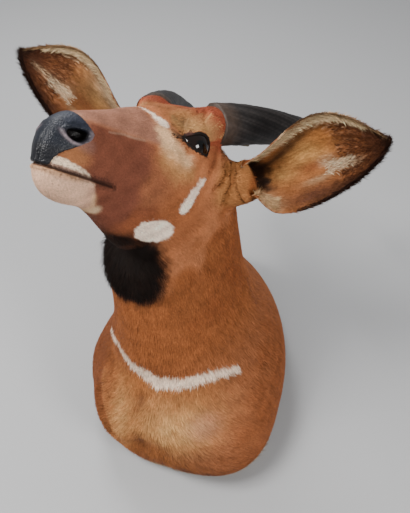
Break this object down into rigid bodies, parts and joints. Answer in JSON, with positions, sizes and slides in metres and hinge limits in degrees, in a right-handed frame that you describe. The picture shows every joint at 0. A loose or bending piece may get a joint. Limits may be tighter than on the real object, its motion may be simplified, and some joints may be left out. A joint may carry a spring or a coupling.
{
  "type": "taxidermy shoulder mount of a bongo antelope",
  "caption": "Life-size shoulder mount of a bongo antelope with lyre-shaped horns and large cupped ears, lying on its flat back board with the head turned to its right.",
  "frame": {"origin": "middle of the back board's flat underside, the face that goes against a wall", "axes": "+X to the animal's left, +Y to its withers, +Z out of the wall, which is up as the mount lies on the floor"},
  "size_m": [0.6607, 0.7737, 0.7739],
  "materials": {
    "coat": "tanned hide with short, smooth chestnut hair",
    "nose": "pebbled blue-black nose skin, satin",
    "eye": "polished dark glass eye",
    "horn": "dark grey-brown horn, satin, with fine lengthwise lines",
    "board": "plain plywood"
  },
  "bodies": {
    "root": {"shoulders": "coat", "neck": "coat", "head": "coat", "lower_jaw": "coat", "ear_left": "coat", "ear_right": "coat", "nose_pad": "nose", "eye_left": "eye", "eye_right": "eye", "horn_left": "horn", "horn_right": "horn", "back_board": "board"}
  },
  "joints": []
}
